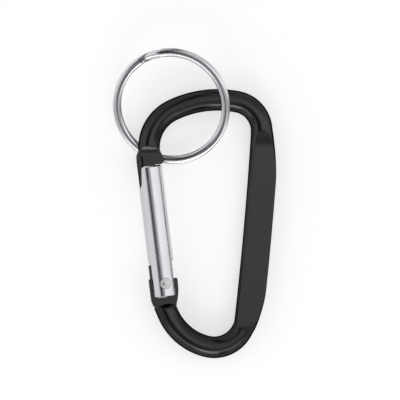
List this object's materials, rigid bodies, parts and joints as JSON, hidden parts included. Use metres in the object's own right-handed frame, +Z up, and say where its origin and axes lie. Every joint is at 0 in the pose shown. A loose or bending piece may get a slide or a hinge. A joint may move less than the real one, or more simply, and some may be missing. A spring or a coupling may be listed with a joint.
{
  "type": "carabiner keyring",
  "caption": "Flat D-shaped bar carabiner with a pressed spine and a sprung tube gate on a rivet, and a double-turn split ring threaded on its wide end.",
  "frame": {"origin": "bottom centre of the whole object's box, as it lies on a table with the bar leaning on the ring", "axes": "+X from the gate to the spine, +Y from the hinge end to the wide top bow, +Z up"},
  "size_m": [0.0426, 0.0806, 0.01],
  "materials": {
    "body": "satin black anodised aluminium",
    "gate": "bright, drawn lengthwise",
    "rivet": "bright",
    "push_pin": "turned, oiled",
    "spring": "drawn spring wire",
    "ring": "bright nickel plate"
  },
  "bodies": {
    "carabiner_body": {"body": "body"},
    "gate": {"gate_tube": "gate", "gate_rivet": "rivet", "return_spring": "spring"},
    "plunger": {"push_pin": "push_pin"},
    "key_ring": {"split_ring": "ring"}
  },
  "joints": [
    {"name": "gate_hinge", "type": "hinge", "parent": "carabiner_body", "child": "gate", "pos_m": [-0.0077, -0.02069, 0.00426], "axis": [-0.0671, 0.0068, -0.9977], "range_deg": [0, 28], "stiffness_Nm_per_rad": 0.008, "springref_deg": -71.62},
    {"name": "push_pin_slide", "type": "slide", "parent": "gate", "child": "plunger", "axis": [-0.1214, 0.9925, 0.015], "range_m": [0, 0.0005], "deforming": ["return_spring"]},
    {"name": "ring_swing", "type": "hinge", "parent": "carabiner_body", "child": "key_ring", "pos_m": [-0.00609, 0.02526, 0.00447], "axis": [0.7413, -0.6689, -0.0545], "range_deg": [0, 140]}
  ],
  "couplings": [
    {"joint": "push_pin_slide", "follows": "gate_hinge", "m_per_rad": 0.001}
  ]
}
